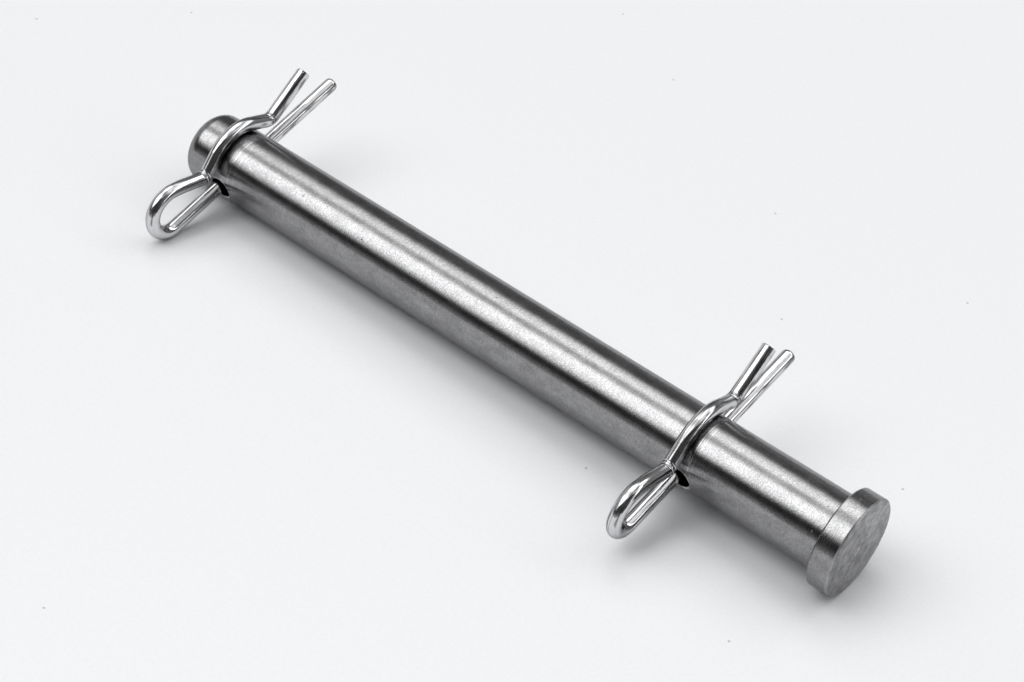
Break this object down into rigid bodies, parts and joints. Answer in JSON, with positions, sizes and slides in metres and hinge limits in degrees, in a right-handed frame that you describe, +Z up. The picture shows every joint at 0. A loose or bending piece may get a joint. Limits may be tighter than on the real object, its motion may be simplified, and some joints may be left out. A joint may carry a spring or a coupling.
{
  "type": "brake pad pin",
  "caption": "Headed steel pin that disc brake pads hang and slide on, cross drilled near each end, each hole holding a spring wire clip that snaps over the shank.",
  "frame": {"origin": "on the pin's axis, at the bearing face of its head (the face towards the shank)", "axes": "+X along the shank from the head to the tip; +Z up as the pin lies on a level surface; the clips' tails point to -Y and their loops to +Y"},
  "size_m": [0.1017, 0.0339, 0.016],
  "materials": {
    "ground_steel": "finely turned and ground, satin, with soft bright and dark bands along the shank",
    "bright_wire": "bright drawn spring wire, smooth and near polished"
  },
  "bodies": {
    "pin": {"pad_pin": "ground_steel"},
    "clip_at_head": {"head_clip": "bright_wire"},
    "clip_at_tip": {"tip_clip": "bright_wire"}
  },
  "joints": [
    {"name": "head_clip_pull", "type": "slide", "parent": "pin", "child": "clip_at_head", "axis": [0, 0.9711, -0.2385], "range_m": [0, 0.024], "deforming": ["head_clip"]},
    {"name": "tip_clip_pull", "type": "slide", "parent": "pin", "child": "clip_at_tip", "axis": [0, 0.9537, -0.3007], "range_m": [0, 0.024], "deforming": ["tip_clip"]}
  ]
}
